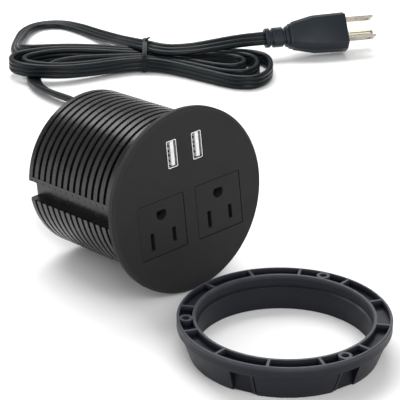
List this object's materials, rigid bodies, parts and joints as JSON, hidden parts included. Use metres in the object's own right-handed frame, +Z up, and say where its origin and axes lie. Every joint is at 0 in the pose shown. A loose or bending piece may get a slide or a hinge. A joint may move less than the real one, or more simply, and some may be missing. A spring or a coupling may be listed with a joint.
{
  "type": "desk grommet power outlet",
  "caption": "Round in-desk power outlet with mains sockets, USB ports, a ribbed barrel, a tied flat mains lead with its plug, and a screw-on locking ring.",
  "frame": {"origin": "on the floor, under the middle of the box that holds the outlet and its locking ring; the lead and plug lie outside it", "axes": "+Z up, -Y the way the outlet's face looks, +X to the right as one looks at the face"},
  "size_m": [0.3645, 0.4763, 0.0885],
  "materials": {
    "face_plastic": "fine matte texture",
    "barrel_plastic": "semi-gloss",
    "outlet_plastic": "smooth satin",
    "inner_plastic": "plain",
    "contact_brass": "stamped strip",
    "screw_steel": "zinc plated",
    "shell_steel": "nickel plated sheet",
    "tongue_plastic": "white moulded",
    "pin_gold": "gold flash",
    "board_laminate": "green solder mask",
    "chip_black": "moulded epoxy",
    "link_metal": "pin header",
    "standoff_plastic": "natural nylon",
    "sheet_insulation": "fish paper",
    "transformer_tape": "polyester tape",
    "capacitor_sleeve": "shrink sleeve",
    "choke_winding": "enamelled wire",
    "fuse_plastic": "moulded",
    "neutral_insulation": "smooth",
    "line_insulation": "smooth",
    "ground_insulation": "smooth",
    "cord_jacket": "ridged, satin",
    "tie_plastic": "coated twist tie",
    "plug_plastic": "satin moulded",
    "blade_nickel": "nickel plated brass",
    "pin_brass": "bright pin",
    "ring_plastic": "satin with lighter edges"
  },
  "bodies": {
    "outlet": {"face_plate": "face_plastic", "barrel": "barrel_plastic", "rear_cap": "barrel_plastic", "outlet_front_left": "outlet_plastic", "outlet_front_right": "outlet_plastic", "outlet_body_left": "inner_plastic", "outlet_body_right": "inner_plastic", "outlet_retainer": "inner_plastic", "cord_clamp": "inner_plastic", "neutral_contact_left": "contact_brass", "neutral_contact_right": "contact_brass", "line_contact_left": "contact_brass", "line_contact_right": "contact_brass", "ground_contact_left": "contact_brass", "ground_contact_right": "contact_brass", "rear_cap_screws": "screw_steel", "retainer_screws": "screw_steel", "board_screws": "screw_steel", "usb_shell_left": "shell_steel", "usb_shell_right": "shell_steel", "usb_tongue_left": "tongue_plastic", "usb_tongue_right": "tongue_plastic", "usb_pins_left": "pin_gold", "usb_pins_right": "pin_gold", "usb_board": "board_laminate", "supply_board": "board_laminate", "usb_board_chips": "chip_black", "rectifier": "chip_black", "control_chip": "chip_black", "board_link": "link_metal", "board_standoffs": "standoff_plastic", "insulating_sheet": "sheet_insulation", "transformer": "transformer_tape", "bulk_capacitors": "capacitor_sleeve", "output_capacitors": "capacitor_sleeve", "choke": "choke_winding", "fuse": "fuse_plastic", "neutral_wires": "neutral_insulation", "line_wires": "line_insulation", "ground_wires": "ground_insulation", "strain_relief": "cord_jacket", "cord_lead": "cord_jacket", "cord_hank": "cord_jacket", "cord_tail": "cord_jacket", "cable_tie": "tie_plastic", "plug_relief": "plug_plastic", "plug_body": "plug_plastic", "plug_line_blade": "blade_nickel", "plug_neutral_blade": "blade_nickel", "plug_ground_pin": "pin_brass"},
    "locking_ring": {"locking_ring": "ring_plastic"}
  },
  "joints": [
    {"name": "ring_lift", "type": "slide", "parent": "outlet", "child": "locking_ring", "axis": [0, 0, 1], "range_m": [0, 0.12]}
  ]
}
